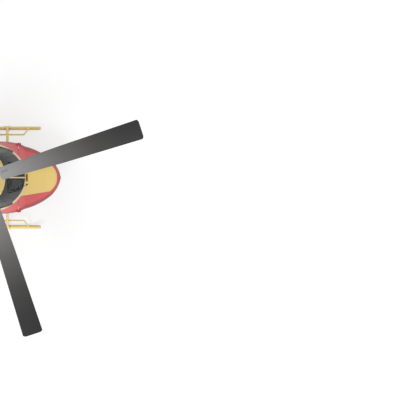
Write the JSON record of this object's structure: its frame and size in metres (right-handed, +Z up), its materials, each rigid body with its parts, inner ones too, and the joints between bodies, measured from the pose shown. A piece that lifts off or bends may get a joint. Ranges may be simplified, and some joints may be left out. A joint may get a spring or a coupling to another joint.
{
  "type": "light twin-engine rescue helicopter",
  "caption": "Light helicopter on skids with hinged crew doors, rear clamshell doors, a tail boom with endplates and a tail rotor on the port side of the fin.",
  "frame": {"origin": "centre of the bounding box on the ground under the skids", "axes": "+X to the nose, +Y to port (left side), +Z up"},
  "size_m": [8.9199, 7.7396, 3.5267],
  "materials": {
    "red_paint": "gloss",
    "yellow_paint": "gloss",
    "black_paint": "satin",
    "maroon_paint": "gloss",
    "orange_paint": "gloss",
    "tinted_glass": "gloss",
    "blade_composite": "satin",
    "cream_composite": "satin",
    "dark_steel": "satin",
    "bare_steel": "satin",
    "aluminium": "satin",
    "seat_fabric": "matte",
    "panel_plastic": "matte",
    "floor_sheet": "matte"
  },
  "bodies": {
    "airframe": {"nose_shell": "red_paint", "belly_shell": "red_paint", "windshield_frame": "black_paint", "roof_shell": "yellow_paint", "door_posts": "red_paint", "aft_shell": "red_paint", "windshield": "tinted_glass", "chin_windows": "tinted_glass", "cabin_doors": "red_paint", "cabin_door_windows": "tinted_glass", "hinge_brackets": "bare_steel", "cabin_floor": "floor_sheet", "engine_cowling": "yellow_paint", "exhaust_pipes": "bare_steel", "engines": "aluminium", "main_gearbox": "aluminium", "tail_boom": "red_paint", "boom_end_cone": "red_paint", "stabiliser": "maroon_paint", "endplates": "yellow_paint", "fin": "yellow_paint", "tail_gearbox": "dark_steel", "tail_skid": "dark_steel", "skid_tubes": "yellow_paint", "cross_tubes": "yellow_paint", "step_rails": "yellow_paint", "seat_frames": "panel_plastic", "seat_cushions": "seat_fabric", "flight_controls": "dark_steel", "door_rails": "bare_steel", "intake_screens": "dark_steel", "swashplate_fixed": "aluminium", "drive_shaft_cover": "yellow_paint", "instrument_console": "panel_plastic"},
    "crew_door_left": {"crew_door_left": "red_paint", "crew_window_left": "tinted_glass"},
    "crew_door_right": {"crew_door_right": "red_paint", "crew_window_right": "tinted_glass"},
    "clamshell_left": {"clamshell_left": "red_paint"},
    "clamshell_right": {"clamshell_right": "red_paint"},
    "main_rotor": {"main_rotor_hub": "dark_steel", "main_rotor_blades": "blade_composite", "swashplate_turning": "bare_steel", "pitch_links": "bare_steel"},
    "tail_rotor": {"tail_rotor_hub": "dark_steel", "tail_rotor_blades": "cream_composite"}
  },
  "joints": [
    {"name": "main_rotor_spin", "type": "hinge", "parent": "airframe", "child": "main_rotor", "pos_m": [0.59, 0, 2.5], "axis": [0, 0, 1], "continuous": true},
    {"name": "tail_rotor_spin", "type": "hinge", "parent": "airframe", "child": "tail_rotor", "pos_m": [-4.26, 0.15, 2.71], "axis": [0, 1, 0], "continuous": true},
    {"name": "crew_door_left_swing", "type": "hinge", "parent": "airframe", "child": "crew_door_left", "pos_m": [1.423, 0.841, 1], "axis": [0, 0, 1], "range_deg": [-80, 0]},
    {"name": "crew_door_right_swing", "type": "hinge", "parent": "airframe", "child": "crew_door_right", "pos_m": [1.423, -0.841, 1], "axis": [0, 0, 1], "range_deg": [0, 80]},
    {"name": "clamshell_left_swing", "type": "hinge", "parent": "airframe", "child": "clamshell_left", "pos_m": [-0.663, 0.854, 1], "axis": [0, 0, 1], "range_deg": [-85, 0]},
    {"name": "clamshell_right_swing", "type": "hinge", "parent": "airframe", "child": "clamshell_right", "pos_m": [-0.663, -0.854, 1], "axis": [0, 0, 1], "range_deg": [0, 85]}
  ],
  "couplings": [
    {"joint": "tail_rotor_spin", "follows": "main_rotor_spin", "ratio": 5.66}
  ]
}
